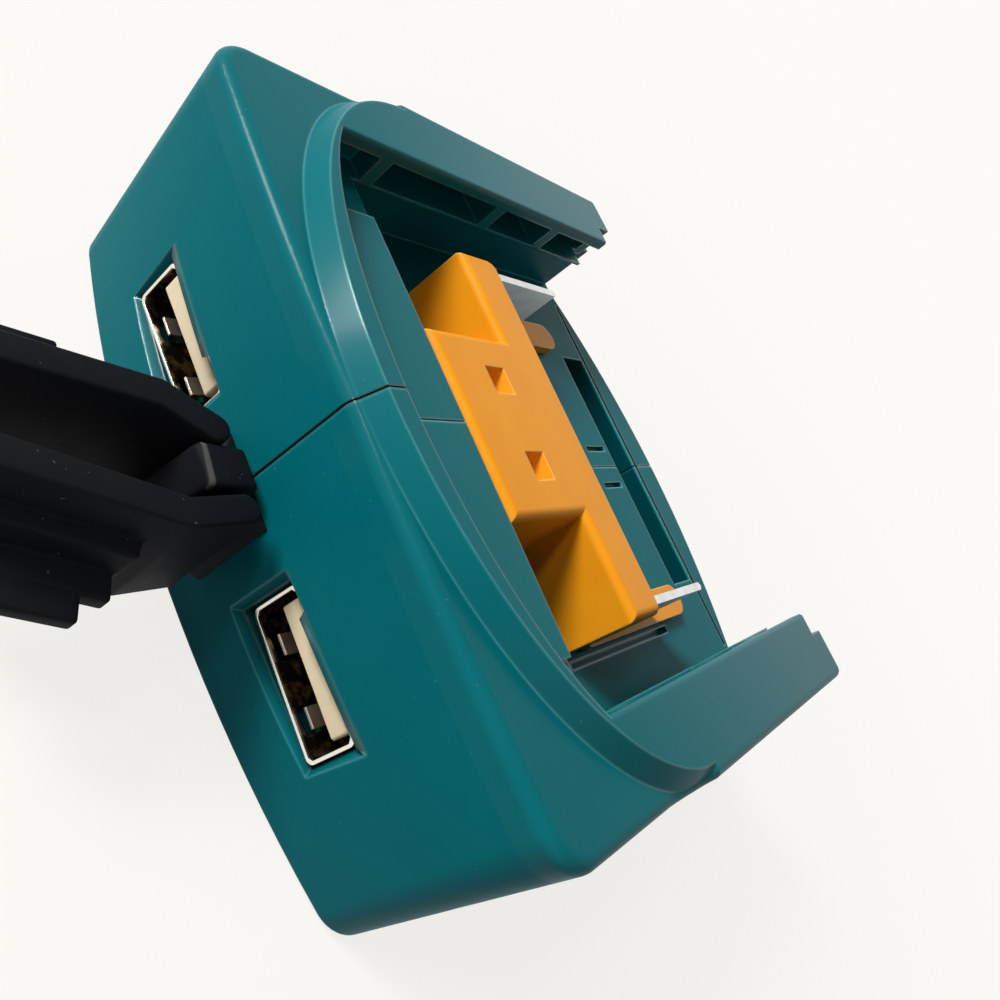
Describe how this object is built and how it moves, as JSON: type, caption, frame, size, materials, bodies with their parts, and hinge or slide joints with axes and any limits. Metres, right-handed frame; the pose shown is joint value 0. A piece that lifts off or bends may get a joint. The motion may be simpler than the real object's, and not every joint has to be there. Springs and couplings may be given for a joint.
{
  "type": "usb battery adapter",
  "caption": "Slide-on adapter for a power tool battery: undercut rails, an arched rim and blade terminals, with USB-A sockets in its bowed face under a hinged rubber cover.",
  "frame": {"origin": "middle of the closed back, on which the adapter lies", "axes": "+X to the right seen from the port face, +Y from the port face to the open end of the rails, +Z from the closed back to the tops of the rails"},
  "size_m": [0.0708, 0.0981, 0.029],
  "materials": {
    "housing_plastic": "fine satin, moulded",
    "block_plastic": "satin, moulded",
    "blade_metal": "smooth, bright plated",
    "port_metal": "bright plated",
    "tongue_plastic": "satin",
    "contact_metal": "plated",
    "cover_rubber": "dull",
    "board_laminate": "solder mask",
    "part_black": "dull",
    "capacitor_can": "drawn",
    "screw_steel": "zinc plated"
  },
  "bodies": {
    "adapter": {"housing_left": "housing_plastic", "housing_right": "housing_plastic", "case_screws": "screw_steel", "terminal_block": "block_plastic", "blade_left": "blade_metal", "blade_right": "blade_metal", "port_shell_left": "port_metal", "port_shell_right": "port_metal", "port_tongue_left": "tongue_plastic", "port_tongue_right": "tongue_plastic", "port_contacts_left": "contact_metal", "port_contacts_right": "contact_metal", "circuit_board": "board_laminate", "board_screws": "screw_steel", "capacitors": "capacitor_can", "inductor": "part_black", "converter_chip": "part_black", "port_controller": "part_black", "diode": "part_black", "cover_root": "cover_rubber"},
    "wing_left": {"cover_wing_left": "cover_rubber"},
    "wing_right": {"cover_wing_right": "cover_rubber"}
  },
  "joints": [
    {"name": "wing_left_hinge", "type": "hinge", "parent": "adapter", "child": "wing_left", "pos_m": [-0.0034, -0.0409, 0.011], "axis": [0, 0, 1], "range_deg": [-76, 6]},
    {"name": "wing_right_hinge", "type": "hinge", "parent": "adapter", "child": "wing_right", "pos_m": [0.0034, -0.0409, 0.011], "axis": [0, 0, 1], "range_deg": [-3, 112]}
  ]
}
